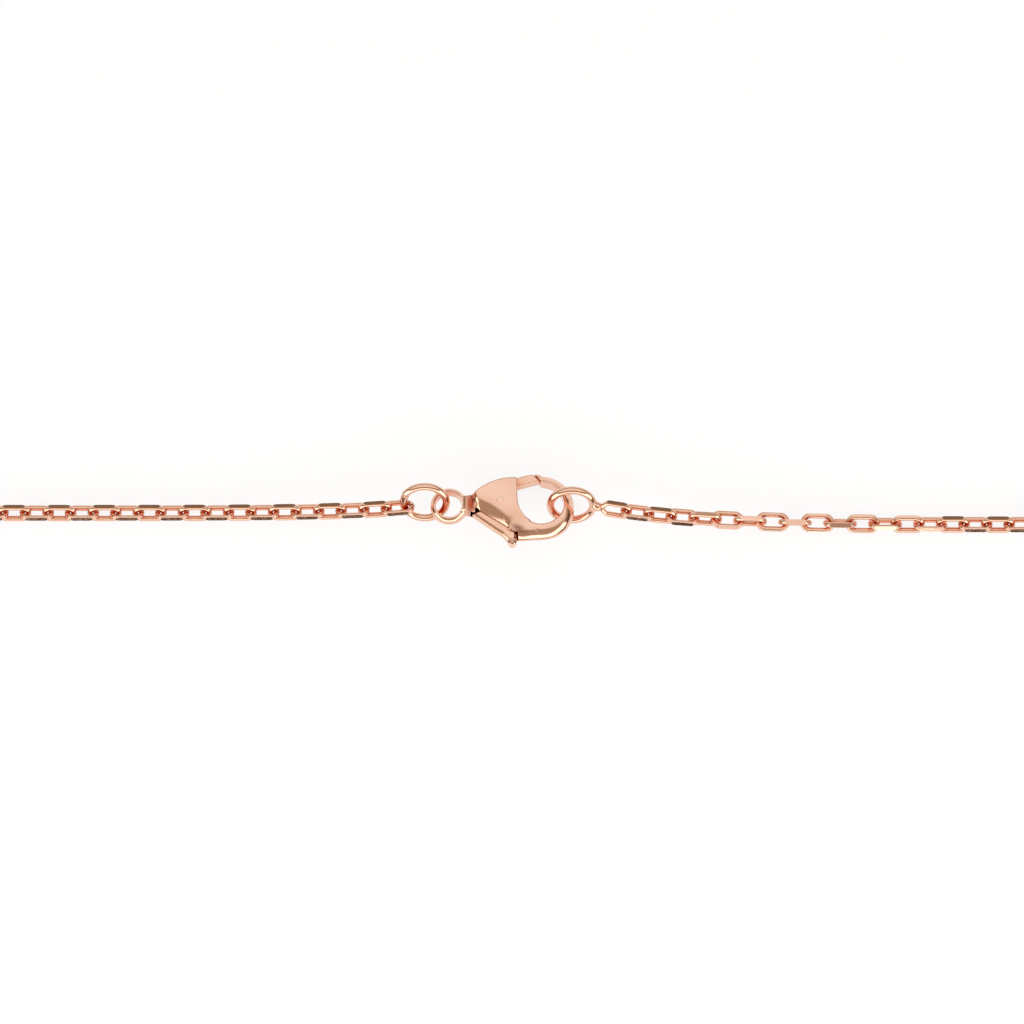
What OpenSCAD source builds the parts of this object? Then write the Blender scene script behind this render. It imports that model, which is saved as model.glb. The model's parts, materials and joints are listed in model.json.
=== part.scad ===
/* [Chain links] */
// Outer width of a link
link_w = 1.3; // [1.2:0.05:1.4]
// Thickness of the link wire
wire_d = 0.36; // [0.3:0.01:0.37]
// Distance from one link to the next
pitch = 1.45; // [1.4:0.05:1.7]
// Play between two interlocked links
link_play = 0.05; // [0.03:0.01:0.07]
// Depth of the cut facet along a link's long sides
facet_cut = 0.055; // [0.02:0.005:0.08]

/* [Chain layout] */
// Single links to the left of the clasp
left_links = 18; // [2:1:18]
// Single links to the right of the clasp
right_links = 19; // [2:1:19]
// Links from the clasp to the first turning link
front_links = 23; // [22:1:30]
// Links in each of the arc's groups
arc_links = 16; // [10:1:24]
// Roll of the even links about the chain
even_roll = 42; // [35:1:50]
// Roll at the right of the clasp, where the chain is twisted
twisted_roll = -48; // [-48:1:42]
// Number of links over which that twist runs out
twist_links = 16; // [8:1:20]
// How far the left strand drops off the clasp's axis
left_dip = 0.42; // [0.1:0.02:1]
// How far the right strand drops off the clasp's axis
right_dip = 1.18; // [0.1:0.02:1.5]

/* [Rings] */
// Outer diameter of the jump ring and the end ring
ring_d = 3.24; // [3.1:0.02:3.4]
// Wire thickness of the jump ring
jump_wire = 0.48; // [0.4:0.02:0.5]
// Wire thickness of the end ring
end_wire = 0.5; // [0.4:0.02:0.56]
// Width of the cut through the jump ring
jump_cut = 0.04; // [0.02:0.01:0.1]
// Diameter of the solder bead on the end ring
bead_d = 0.62; // [0.52:0.02:0.7]

/* [Clasp] */
// Distance from the pivot to the middle of the tail ring
tail_reach = 3.29; // [3.2:0.01:3.6]
// Hole through the tail ring
tail_hole = 1.72; // [1.6:0.02:1.76]
// Wall of the tail ring
tail_wall = 0.34; // [0.28:0.02:0.36]
// Depth of the tail ring along its hole
tail_depth = 0.92; // [0.8:0.02:1]
// Distance from the pivot to the middle of the hook
hook_reach = 2.6; // [2.5:0.02:2.8]
// Inner radius of the hook
hook_r = 1.48; // [1.4:0.02:1.5]
// Thickness of the hook between its inner and outer curve
hook_wall = 0.64; // [0.5:0.02:0.7]
// Depth of the hook
hook_depth = 1.04; // [0.9:0.02:1.2]
// Thickness of the clasp's body at the pivot
body_h = 2.2; // [2:0.05:2.4]
// Radius of the domed faces of the body
dome_r = 6; // [5:0.5:10]
// Width of the slot that the trigger turns in
slot_w = 0.86; // [0.8:0.02:0.96]
// Wall over the slot on the body's closed side
web = 0.3; // [0.2:0.02:0.4]
// Turn of the clasp about the chain's line, its open side rolled down towards the table
clasp_tilt = 23; // [0:1:30]

/* [Trigger] */
// Play between the trigger and each side of the slot
slide_gap = 0.05; // [0.03:0.01:0.08]
// Play between the gate's tip and the beak
gate_gap = 0.04; // [0.02:0.01:0.08]
// Distance from the pivot to the gate's tip
gate_reach = 2.98; // [2.9:0.02:3.1]
// Distance from the pivot's level down to the middle of the thumb tab
tab_drop = 2.54; // [2.4:0.02:2.7]
// Radius of the thumb tab's end
tab_r = 0.27; // [0.2:0.01:0.3]
// Diameter of the pivot pin
pin_d = 0.5; // [0.4:0.02:0.54]
// Wire thickness of the trigger's spring
spring_wire = 0.14; // [0.1:0.01:0.16]

/* [Hidden] */
$fn = 48;

// Sides of the clasp, seen from the pivot
LEFT = -1;
RIGHT = 1;
arc_groups = 5;
turn_links = 2;

SINGLE_NODES = [
  for (k = [1 : left_links]) str("link_left_", two_digits(k)),
  for (k = [1 : right_links]) str("link_right_", two_digits(k))
];
ARC_NODES = [for (name = ["arc_left_", "arc_right_"]) for (g = [1 : arc_groups]) str(name, g)];
TURN_NODES = [for (name = ["turn_link_left_", "turn_link_right_"]) for (k = [1 : turn_links]) str(name, k)];

function two_digits(k) = k < 10 ? str("0", k) : str(k);
function ease(t) = t <= 0 ? 0 : t >= 1 ? 1 : t * t * (3 - 2 * t);
function mix(a, b, t) = a + (b - a) * t;
function mid(p, q) = (p + q) / 2;

// One link: straight sides joined by half rings
side_r = (link_w - wire_d) / 2;
link_l = pitch + 2 * wire_d + link_play;
bend_x = link_l / 2 - wire_d / 2 - side_r;
roll_step = 90;

// The clasp's own shape, about the pivot
hook_out = hook_r + hook_wall;
hook_sweep = 206;
hook_round = 0.4 * hook_wall;
tail_round = 0.1;
trigger_h = slot_w - 2 * slide_gap;
// Middle and radius of the arc along the body's back
crown = [1, -2.36];
crown_r = 4.04;
// Where the body narrows to the tail ring, and how wide it is there
neck_x = -1.75;
neck_w = 1.2;
neck_lap = 0.1;
// Where the body's faces end at the hook, above and below the hook's middle
face_x = 1.08;
root_x = 1.15;
root_lap = 0.3;
root_drop = hook_out + 0.1;
// Rolled lower edge of the body: [distance in from the edge, height, slope] of each bevel
side_turn = atan2(neck_w / 2 - root_drop, root_x - neck_x);
bevels = [[0.77, 0.864 * body_h / 2, 38], [0.3, 0.53 * body_h / 2, 58]];
pivot_gap = 0.02;
pin_inset = 0.02;
hub_r = 0.62;
lever_r = 1.93;
tab_x = 0.76;
// Arc along the gate's outer edge
gate_bow = [2.3, -1];
gate_bow_r = hook_out + 0.98;

// Spring: two turns under the hub's floor, and the direction and length of each leg
hub_floor = 0.04;
spring_gap = 0.02;
coil_inset = 0.06;
coil_step = 0.85;
coil_r = hub_r - spring_wire - coil_inset;
coil_top = -hub_floor - spring_gap - spring_wire / 2;
coil_z = [coil_top, coil_top - coil_step * spring_wire];
wall_leg = [130, 1.18];
lever_leg = [205, 1.2];
leg_d = 0.86 * spring_wire;
chain_tint = [0.86, 0.63, 0.52];

// Heights above the table
table_gap = 0.01;
strand_z = side_r * sin(roll_step - even_roll) + wire_d / 2 + table_gap;
clasp_z = 1.45;

// Where the strands start, and how they run on
jump_r = (ring_d - jump_wire) / 2;
end_r = (ring_d - end_wire) / 2;
// Each ring's middle: how far out from the opening that it hangs in, how far back, and how high
jump_offset = [0.7, 0.28, 0.1];
end_offset = [0.49, 0.1, 0];
jump_pos = [-tail_reach - tail_hole / 2 - jump_offset[0], jump_offset[1], clasp_z + jump_offset[2]];
end_pos = [hook_reach + hook_r + end_offset[0], end_offset[1], clasp_z + end_offset[2]];
jump_tilt = 44;
end_tilt = 47;
// Direction of the jump ring's cut, and the bead's overhang on the end ring
cut_at = 150;
bead_out = 0.03;
bead_share = 0.6;
// First interlock of each strand, inside the jump ring and outside the end ring
first_in = jump_wire + 0.12;
first_out = 0.445;
start_x = [jump_pos[0] - ring_d / 2 + first_in, end_pos[0] + ring_d / 2 + first_out];
start_y = [-0.02, -0.08];
start_drop = 0.2;
start_z = [clasp_z - start_drop, clasp_z];
dips = [left_dip, right_dip];
// Lengths over which a strand settles sideways and comes down to the table
settle_s = [4, 6.3];
lift_s = 20;
// Line that both strands reach before the arcs, and where they turn to it
end_y = -0.7;
turn_s = 27;
turn_len = 5.5;
slope_step = 0.01;

function side_index(side) = side == LEFT ? 0 : 1;
function strand_y(side, s) =
  let (i = side_index(side), dropped = mix(-dips[i], start_y[i], exp(-s / settle_s[i])))
  mix(dropped, end_y, ease((s - turn_s) / turn_len));
function strand_height(side, s) = mix(start_z[side_index(side)], strand_z, ease(s / lift_s));
function strand_slope(side, s) =
  let (next = s + slope_step)
  let (rise = strand_height(side, next) - strand_height(side, s))
  norm([strand_y(side, next) - strand_y(side, s), rise]) / slope_step;
function strand_point(side, s) =
  [start_x[side_index(side)] + side * s, strand_y(side, s), strand_height(side, s)];

// Distances along the axis at which one link hooks into the next
function strand_steps(side, count) =
  count == 0 ? [0] :
  let (before = strand_steps(side, count - 1), s = before[count - 1])
  concat(before, [s + pitch * cos(atan(strand_slope(side, s + pitch / 2)))]);

// The loop: two half circles, and a back strand between them
straight_links = front_links + turn_links;
steps = [strand_steps(LEFT, straight_links), strand_steps(RIGHT, straight_links)];
half_turn_links = arc_groups * arc_links;
arc_r = pitch / 2 / sin(90 / half_turn_links);
arc_x = [
  start_x[0] - steps[0][straight_links],
  start_x[1] + steps[1][straight_links]
];
back_l = arc_x[1] - arc_x[0];
back_links = 2 * round((back_l / pitch - 1) / 2) + 1;
tab_reach = (tab_drop + tab_r) * cos(clasp_tilt) + trigger_h / 2 * sin(clasp_tilt);
loop_mid = [(arc_x[0] + arc_x[1]) / 2, (end_y + 2 * arc_r + side_r - tab_reach) / 2, 0];

function arc_point(side, n) =
  let (turn = 180 * n / half_turn_links)
  [arc_x[side_index(side)] + side * arc_r * sin(turn), end_y + arc_r * (1 - cos(turn)), strand_z];
function back_point(n) =
  [arc_x[0] + back_l * n / back_links, end_y + 2 * arc_r, strand_z];

// Interlock number n, counted outwards from the clasp's ring
function interlock(side, n) =
  n <= straight_links ? strand_point(side, steps[side_index(side)][n]) :
  n <= straight_links + half_turn_links ? arc_point(side, n - straight_links) :
  back_point(n - straight_links - half_turn_links);

function untwist(side, k) =
  side == LEFT ? even_roll : mix(twisted_roll, even_roll, ease((k - 1) / twist_links));
function link_roll(side, k) = untwist(side, k) - (k % 2 == 0 ? 0 : roll_step);

module rounded(w, h, r) {
  square([w - 2 * r, h], center = true);
  square([w, h - 2 * r], center = true);
  for (x = [-1, 1]) for (y = [-1, 1]) translate([x * (w / 2 - r), y * (h / 2 - r)]) circle(r = r);
}

module bar(from, to, d) {
  along = to - from;
  translate(from)
    rotate([0, atan2(norm([along[0], along[1]]), along[2]), atan2(along[1], along[0])])
      cylinder(d = d, h = norm(along));
}

// A link lying along X, flat on the XY plane
module chain_link() {
  for (turn = [-90, 90])
    rotate([0, 0, turn]) translate([0, bend_x, 0])
      rotate_extrude(angle = 180) translate([side_r, 0]) circle(d = wire_d);
  for (side = [-1, 1])
    intersection() {
      translate([-bend_x, side * side_r, 0]) rotate([0, 90, 0]) cylinder(d = wire_d, h = 2 * bend_x);
      cube([link_l, link_w - 2 * facet_cut, link_w], center = true);
    }
}

module link_at(from, to, roll) {
  along = to - from;
  translate(mid(from, to))
    rotate([0, -asin(along[2] / norm(along)), atan2(along[1], along[0])])
      rotate([roll, 0, 0])
        chain_link();
}

// Links k of one side, counted outwards from the clasp
module links(side, first, last) {
  for (k = [first : last])
    if (side == LEFT) link_at(interlock(side, k), interlock(side, k - 1), link_roll(side, k));
    else link_at(interlock(side, k - 1), interlock(side, k), link_roll(side, k));
}

module in_place() {
  translate(-loop_mid) children();
}

module in_clasp() {
  in_place() translate([0, 0, clasp_z]) rotate([-clasp_tilt, 0, 0]) children();
}

// Outline of the body, the wide part of the hook's root included
module body_outline() {
  difference() {
    union() {
      intersection() {
        translate(crown) circle(r = crown_r);
        polygon([
          [neck_x, crown_r],
          [neck_x, -neck_w / 2],
          [root_x, -root_drop],
          [hook_reach, -hook_out],
          [hook_reach, 0],
          [face_x, 0],
          [face_x, crown_r]
        ]);
      }
      translate([-tail_reach, -neck_w / 2]) square([tail_reach + neck_x + neck_lap, neck_w]);
    }
    translate([hook_reach, 0]) circle(r = hook_r);
  }
}

module body_shell() {
  difference() {
    intersection() {
      linear_extrude(body_h, center = true) body_outline();
      translate([0, 0, body_h / 2 - dome_r]) sphere(r = dome_r);
      translate([0, 0, dome_r - body_h / 2]) sphere(r = dome_r);
      translate([-tail_reach, -2 * root_drop, -body_h])
        cube([tail_reach + root_x, 4 * root_drop, 2 * body_h]);
    }
    for (face = [0, 1]) mirror([0, 0, face]) rolled_edge();
  }
}

// What the bevels along the open side take off one face
module rolled_edge() {
  translate([neck_x, -neck_w / 2, 0]) rotate([0, 0, side_turn])
    for (bevel = bevels)
      translate([0, bevel[0], bevel[1]]) rotate([bevel[2], 0, 0])
        translate([-tail_reach, -dome_r, 0]) cube([tail_reach + dome_r, 2 * dome_r, body_h]);
}

module hook_root() {
  linear_extrude(hook_depth, center = true)
    intersection() {
      body_outline();
      translate([root_x - root_lap, -root_drop]) square([hook_reach - root_x + root_lap, root_drop]);
    }
}

// The curved arm, ending in a beak that the gate closes against
module hook_arm() {
  difference() {
    translate([hook_reach, 0, 0])
      rotate([0, 0, -90])
        rotate_extrude(angle = hook_sweep)
          translate([hook_r + hook_wall / 2, 0]) rounded(hook_wall, hook_depth, hook_round);
    cylinder(r = gate_reach + gate_gap, h = body_h, center = true);
  }
}

module tail_ring() {
  translate([-tail_reach, 0, 0])
    rotate_extrude() translate([tail_hole / 2 + tail_wall / 2, 0]) rounded(tail_wall, tail_depth, tail_round);
}

// Room inside the body for the trigger, open below and at the hook
module slot_outline() {
  intersection() {
    union() {
      circle(r = lever_r + slide_gap);
      translate([0, -2 * root_drop]) square([root_x, 4 * root_drop]);
    }
    union() {
      translate(crown) circle(r = crown_r - web);
      translate([0.6, 0]) square([root_x, crown_r]);
    }
    polygon([
      [-crown_r, crown_r],
      [-crown_r, -root_drop],
      [-0.4, -2 * root_drop],
      [root_x - 0.02, -2 * root_drop],
      [root_x - 0.02, -1.2],
      [face_x + 0.1, 0],
      [face_x + 0.1, crown_r]
    ]);
  }
}

module clasp_body() color([0.91, 0.7, 0.6]) in_clasp() {
  difference() {
    union() {
      body_shell();
      hook_root();
      hook_arm();
      tail_ring();
    }
    linear_extrude(slot_w, center = true) slot_outline();
    cylinder(d = pin_d + 2 * pivot_gap, h = 2 * body_h, center = true);
    translate([-tail_reach, 0, 0]) cylinder(d = tail_hole, h = 2 * body_h, center = true);
  }
}

module trigger_outline() {
  circle(r = hub_r);
  // Gate, with its outer edge on the line of the hook and its tip on an arc about the pivot
  intersection() {
    circle(r = gate_reach);
    translate(gate_bow) circle(r = gate_bow_r);
    polygon([
      [-0.3, 0.4],
      [0.66, 1.32],
      [0.66, 2],
      [gate_reach, 2.4],
      [gate_reach, 1.76],
      [2.4, 1.62],
      [1.1, 1.26],
      [0.9, 0.5],
      [0.3, -0.4]
    ]);
  }
  // Lever along the open side of the body
  polygon([
    [0, 0.1],
    [-0.5, 0.14],
    [-1.62, -0.4],
    [-1.8, -0.68],
    [-0.28, -1.8],
    [0.12, -2.06],
    [tab_x - tab_r, -tab_drop],
    [tab_x + tab_r, -tab_drop],
    [1.05, -1.8],
    [0.6, -0.2]
  ]);
  translate([tab_x, -tab_drop]) circle(r = tab_r);
}

module trigger() color([0.89, 0.67, 0.57]) in_clasp() {
  difference() {
    linear_extrude(trigger_h, center = true) trigger_outline();
    cylinder(d = pin_d + 2 * pivot_gap, h = body_h, center = true);
    // Seat of the spring's turns
    translate([0, 0, -trigger_h]) cylinder(r = hub_r + slide_gap, h = trigger_h - hub_floor);
    translate([0, 0, -trigger_h]) linear_extrude(trigger_h - hub_floor) lever_relief();
  }
}

// Keeps the lever's upper edge clear of the spring's leg
module lever_relief() {
  polygon([[-2, 1], [-2, -0.52], [-0.5, 0.02], [0, 0.2], [0, 1]]);
}

module pivot_pin() color([0.85, 0.62, 0.52]) in_clasp() {
  cylinder(d = pin_d, h = body_h - 2 * pin_inset, center = true);
}

// Leg with [direction, length], leaving a turn square to its radius
module spring_leg(leg, turn, z) {
  start = coil_r * [cos(leg[0] + turn), sin(leg[0] + turn)];
  tip = start + leg[1] * [cos(leg[0]), sin(leg[0])];
  bar([start[0], start[1], z], [tip[0], tip[1], z], leg_d);
}

// Two turns around the pin, one leg on the body's wall and one on the lever
module trigger_spring() color([0.75, 0.75, 0.77]) in_clasp() {
  rotate_extrude() for (z = coil_z) translate([coil_r, z]) circle(d = spring_wire);
  spring_leg(wall_leg, 90, coil_z[1]);
  spring_leg(lever_leg, -90, coil_z[0]);
}

// Open ring with its cut at the upper left
module jump_ring() color([0.9, 0.68, 0.58]) in_place() {
  cut_turn = 360 * jump_cut / (2 * PI * jump_r);
  translate(jump_pos) rotate([jump_tilt, 0, 0])
    rotate([0, 0, cut_at])
      rotate_extrude(angle = 360 - cut_turn) translate([jump_r, 0]) circle(d = jump_wire);
}

// Closed ring with a bead of solder that holds the first link of the right strand
module end_ring() color([0.9, 0.68, 0.58]) in_place() {
  translate(end_pos) rotate([end_tilt, 0, 0])
    rotate_extrude() translate([end_r, 0]) circle(d = end_wire);
  translate([end_pos[0] + ring_d / 2 + bead_out, mix(end_pos[1], start_y[1], bead_share), end_pos[2]])
    sphere(d = bead_d);
}

module single_link(side, k) color(chain_tint) in_place() links(side, k, k);

module front_chain(side) color(chain_tint) in_place()
  links(side, (side == LEFT ? left_links : right_links) + 1, front_links);

module turn_link(side, k) color(chain_tint) in_place() links(side, front_links + k, front_links + k);

module arc_group(side, g) color(chain_tint) in_place()
  links(side, straight_links + (g - 1) * arc_links + 1, straight_links + g * arc_links);

module back_chain() color(chain_tint) in_place()
  links(LEFT, straight_links + half_turn_links + 1, straight_links + half_turn_links + back_links);

clasp_body();
trigger();
pivot_pin();
trigger_spring();
jump_ring();
end_ring();
for (k = [1 : left_links])
  single_link(LEFT, k);
for (k = [1 : right_links])
  single_link(RIGHT, k);
front_chain(LEFT);  // front_chain_left
front_chain(RIGHT);  // front_chain_right
for (k = [1 : turn_links]) {
  turn_link(LEFT, k);
  turn_link(RIGHT, k);
}
for (g = [1 : arc_groups]) {
  arc_group(LEFT, g);
  arc_group(RIGHT, g);
}
back_chain();
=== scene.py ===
import json
import math

import bmesh
import bpy
import numpy as np
from bpy.props import FloatProperty, FloatVectorProperty, PointerProperty
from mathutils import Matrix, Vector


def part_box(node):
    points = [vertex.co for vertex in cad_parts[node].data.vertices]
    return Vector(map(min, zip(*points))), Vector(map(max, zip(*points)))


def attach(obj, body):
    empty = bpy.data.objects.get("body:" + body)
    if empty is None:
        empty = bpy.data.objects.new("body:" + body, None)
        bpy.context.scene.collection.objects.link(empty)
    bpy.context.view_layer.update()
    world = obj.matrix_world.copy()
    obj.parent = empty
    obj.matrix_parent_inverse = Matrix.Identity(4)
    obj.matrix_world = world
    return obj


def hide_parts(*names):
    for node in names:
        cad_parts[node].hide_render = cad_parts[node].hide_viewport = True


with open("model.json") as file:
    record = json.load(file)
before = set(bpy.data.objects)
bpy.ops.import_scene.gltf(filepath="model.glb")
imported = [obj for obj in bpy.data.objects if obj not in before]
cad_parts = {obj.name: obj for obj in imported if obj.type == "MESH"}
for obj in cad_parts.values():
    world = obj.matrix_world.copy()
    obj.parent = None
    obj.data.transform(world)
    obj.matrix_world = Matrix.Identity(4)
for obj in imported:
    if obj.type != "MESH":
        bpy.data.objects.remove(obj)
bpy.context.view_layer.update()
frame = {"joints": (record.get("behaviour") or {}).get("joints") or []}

bl_info = {
    "name": "Chain Necklace",
    "version": (1, 0, 0),
    "blender": (4, 5, 0),
    "location": "View3D > Sidebar > Necklace",
    "description": "Builds the metal of a cable-chain necklace with a lobster clasp around its frame",
    "category": "Object",
}

MM = 0.001
LENGTH = {"subtype": "DISTANCE", "unit": "LENGTH"}
LEFT, RIGHT = "left", "right"
SIGN = {LEFT: -1.0, RIGHT: 1.0}
JOINTS = {joint["name"]: joint for joint in frame["joints"]}
PIVOT = np.array(JOINTS["clasp_trigger"]["pos_m"]) / MM
CLASP_TILT = math.atan2(-JOINTS["clasp_trigger"]["axis"][1], -JOINTS["clasp_trigger"]["axis"][2])


# ---------------------------------------------------------------- sizes


class ChainSizes(bpy.types.PropertyGroup):
    """Sizes of the links"""

    link_width: FloatProperty(
        name="Link width", description="Outer width of a link", default=1.3 * MM, **LENGTH)
    wire: FloatProperty(
        name="Wire", description="Thickness of the link wire", default=0.36 * MM, **LENGTH)
    pitch: FloatProperty(
        name="Pitch", description="Distance from one link to the next", default=1.45 * MM, **LENGTH)
    play: FloatProperty(
        name="Play", description="Play between two links", default=0.05 * MM, **LENGTH)
    facet_cut: FloatProperty(
        name="Facet cut", description="Depth of the flat cut along a link's sides",
        default=0.055 * MM, **LENGTH,
    )


class ClaspSizes(bpy.types.PropertyGroup):
    """Sizes of the clasp"""

    tail_reach: FloatProperty(
        name="Tail reach", description="Pivot to the middle of the tail ring", default=3.29 * MM, **LENGTH)
    hook_reach: FloatProperty(
        name="Hook reach", description="Pivot to the middle of the hook", default=2.6 * MM, **LENGTH)
    hook_radius: FloatProperty(
        name="Hook radius", description="Inner radius of the hook", default=1.48 * MM, **LENGTH)
    body_height: FloatProperty(
        name="Body thickness", description="Thickness of the body at the pivot", default=2.2 * MM, **LENGTH)
    skin_step: FloatProperty(
        name="Mesh step", description="Size of the mesh's quads on the cast pieces",
        default=0.04 * MM, **LENGTH,
    )


class RingSizes(bpy.types.PropertyGroup):
    """Sizes of the two rings"""

    outer: FloatProperty(
        name="Ring diameter", description="Outer diameter of both rings", default=3.24 * MM, **LENGTH)
    jump_wire: FloatProperty(
        name="Jump ring wire", description="Wire thickness of the jump ring", default=0.48 * MM, **LENGTH)
    end_wire: FloatProperty(
        name="End ring wire", description="Wire thickness of the end ring", default=0.5 * MM, **LENGTH)
    bead: FloatProperty(
        name="Solder bead", description="Diameter of the solder bead", default=0.62 * MM, **LENGTH)


class MetalLook(bpy.types.PropertyGroup):
    """Colour and polish of the metals"""

    gold: FloatVectorProperty(
        name="Rose gold", description="Colour of the polished rose gold",
        default=(0.86, 0.545, 0.405), size=3, min=0.0, max=1.0, subtype="COLOR",
    )
    steel: FloatVectorProperty(
        name="Spring steel", description="Colour of the spring wire",
        default=(0.56, 0.57, 0.58), size=3, min=0.0, max=1.0, subtype="COLOR",
    )
    polish: FloatProperty(
        name="Roughness", description="Roughness of the polished gold",
        default=0.11, min=0.02, max=0.6, subtype="FACTOR",
    )
    facet_roughness: FloatProperty(
        name="Facet roughness", description="Roughness of the cut facets",
        default=0.1, min=0.05, max=0.8, subtype="FACTOR",
    )


class StageLook(bpy.types.PropertyGroup):
    """Floor, light and camera"""

    view_width: FloatProperty(
        name="View width", description="Width of the view at the chain", default=65.8 * MM, **LENGTH)
    camera_height: FloatProperty(
        name="Camera height", description="Height of the camera above the floor", default=0.6, **LENGTH)
    sky: FloatProperty(
        name="Overhead light", description="Brightness of the tent overhead", default=1.05, min=0.0, max=4.0)
    near_side: FloatProperty(
        name="Near side light", description="Brightness of the tent on the near side",
        default=0.36, min=0.0, max=1.0,
    )
    horizon: FloatProperty(
        name="Horizon light", description="Share of the light left at the horizon",
        default=0.14, min=0.0, max=1.0,
    )
    tent_lean: FloatProperty(
        name="Tent lean", description="How far the tent's brightest part leans back, in degrees",
        default=60.0, min=0.0, max=90.0,
    )


# ---------------------------------------------------------------- path of the chain


def ease(t):
    t = min(max(t, 0.0), 1.0)
    return t * t * (3 - 2 * t)


def mix(a, b, t):
    return a + (b - a) * t


class ChainPath:
    """Where one link hooks into the next, in millimetres from the clasp's pivot."""

    # Links of each half strand, at each turn and in each half circle
    FRONT_LINKS = 23
    TURN_LINKS = 2
    ARC_GROUPS = 5
    ARC_LINKS = 16
    # Roll of the links about the chain, in degrees; the right strand starts twisted
    ROLL_STEP = 90.0
    EVEN_ROLL = 42.0
    TWISTED_ROLL = -48.0
    TWIST_LINKS = 16
    # Each strand starts at its ring, dips in the plane of the table and sinks down to it
    START_X = {LEFT: -5.87, RIGHT: 6.635}
    START_Y = {LEFT: -0.02, RIGHT: -0.08}
    START_DROP = {LEFT: 0.2, RIGHT: 0.0}
    DIP = {LEFT: 0.42, RIGHT: 1.18}
    SETTLE = {LEFT: 4.0, RIGHT: 6.3}
    LIFT_LENGTH = 20.0
    # Both strands end level, where the half circles start
    END_Y = -0.7
    TURN_START = 27.0
    TURN_LENGTH = 5.5
    TABLE_GAP = 0.01

    def __init__(self, chain):
        self.pitch = chain.pitch / MM
        side_r = (chain.link_width - chain.wire) / 2 / MM
        self.low_z = side_r * math.sin(math.radians(self.ROLL_STEP - self.EVEN_ROLL)) + chain.wire / 2 / MM
        self.low_z += self.TABLE_GAP - PIVOT[2]
        self.straight = self.FRONT_LINKS + self.TURN_LINKS
        self.half_turn = self.ARC_GROUPS * self.ARC_LINKS
        self.steps = {side: self._steps(side) for side in (LEFT, RIGHT)}
        self.arc_r = self.pitch / 2 / math.sin(math.pi / 2 / self.half_turn)
        self.arc_x = {
            side: self.START_X[side] + SIGN[side] * self.steps[side][-1] for side in (LEFT, RIGHT)
        }
        self.back_length = self.arc_x[RIGHT] - self.arc_x[LEFT]
        self.back_links = 2 * round((self.back_length / self.pitch - 1) / 2) + 1

    def _y(self, side, s):
        dropped = mix(-self.DIP[side], self.START_Y[side], math.exp(-s / self.SETTLE[side]))
        return mix(dropped, self.END_Y, ease((s - self.TURN_START) / self.TURN_LENGTH))

    def _z(self, side, s):
        return mix(-self.START_DROP[side], self.low_z, ease(s / self.LIFT_LENGTH))

    def _steps(self, side):
        """Distance of each interlock along the strand's own axis."""
        steps, near = [0.0], 0.01
        for _ in range(self.straight):
            s = steps[-1] + self.pitch / 2
            drift = self._y(side, s + near) - self._y(side, s)
            rise = self._z(side, s + near) - self._z(side, s)
            steps.append(steps[-1] + self.pitch * math.cos(math.atan(math.hypot(drift, rise) / near)))
        return steps

    def interlock(self, side, n):
        """Interlock n, counted outwards from the clasp's ring."""
        if n <= self.straight:
            s = self.steps[side][n]
            return np.array([self.START_X[side] + SIGN[side] * s, self._y(side, s), self._z(side, s)])
        n -= self.straight
        if n <= self.half_turn:
            turn = math.pi * n / self.half_turn
            x = self.arc_x[side] + SIGN[side] * self.arc_r * math.sin(turn)
            return np.array([x, self.END_Y + self.arc_r * (1 - math.cos(turn)), self.low_z])
        n -= self.half_turn
        x = self.arc_x[LEFT] + self.back_length * n / self.back_links
        return np.array([x, self.END_Y + 2 * self.arc_r, self.low_z])

    def roll(self, side, k):
        """Roll of link k about the chain, in degrees."""
        untwisted = self.EVEN_ROLL
        if side == RIGHT:
            untwisted = mix(self.TWISTED_ROLL, self.EVEN_ROLL, ease((k - 1) / self.TWIST_LINKS))
        return untwisted - (self.ROLL_STEP if k % 2 else 0.0)

    def placing(self, side, k):
        """(middle, matrix) of link k, whose own X runs along the chain and own Z is its flat side."""
        a, b = self.interlock(side, k - 1), self.interlock(side, k)
        if side == LEFT:
            a, b = b, a
        along = (b - a) / np.linalg.norm(b - a)
        heading = math.atan2(along[1], along[0])
        across = np.array([-math.sin(heading), math.cos(heading), 0.0])
        up = np.cross(along, across)
        r = math.radians(self.roll(side, k))
        turned = np.column_stack(
            [along, math.cos(r) * across + math.sin(r) * up, -math.sin(r) * across + math.cos(r) * up]
        )
        return (a + b) / 2, turned


# ---------------------------------------------------------------- mesh building


def to_frame(points):
    """Strand millimetres about the pivot to frame metres."""
    return (points + PIVOT) * MM


def x_turn(a):
    """Turn about X by a radians, as a matrix for row vectors."""
    c, s = math.cos(a), math.sin(a)
    return np.array([[1, 0, 0], [0, c, s], [0, -s, c]])


CLASP_TURN = x_turn(-CLASP_TILT)


def new_piece(name, points, faces, metals, face_metal=None, normals=None, sharp_metal=None):
    """A smooth mesh object from frame points in metres."""
    mesh = bpy.data.meshes.new(name)
    mesh.from_pydata(points.tolist(), [], faces if isinstance(faces, list) else faces.tolist())
    mesh.validate()
    for metal in metals:
        mesh.materials.append(metal)
    if face_metal is not None:
        mesh.polygons.foreach_set("material_index", np.asarray(face_metal, dtype=np.int32))
    mesh.polygons.foreach_set("use_smooth", np.ones(len(mesh.polygons), dtype=bool))
    if sharp_metal is not None:
        mark_rims(mesh, sharp_metal)
    if normals is not None:
        mesh.normals_split_custom_set_from_vertices(normals.tolist())
    mesh.update()
    piece = bpy.data.objects.new(name, mesh)
    bpy.context.scene.collection.objects.link(piece)
    return piece


def mark_rims(mesh, metal_index):
    """Keeps the rim of every face of that metal crisp."""
    bm = bmesh.new()
    bm.from_mesh(mesh)
    for edge in bm.edges:
        kinds = {face.material_index == metal_index for face in edge.link_faces}
        edge.smooth = len(kinds) < 2
    bm.to_mesh(mesh)
    bm.free()


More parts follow.
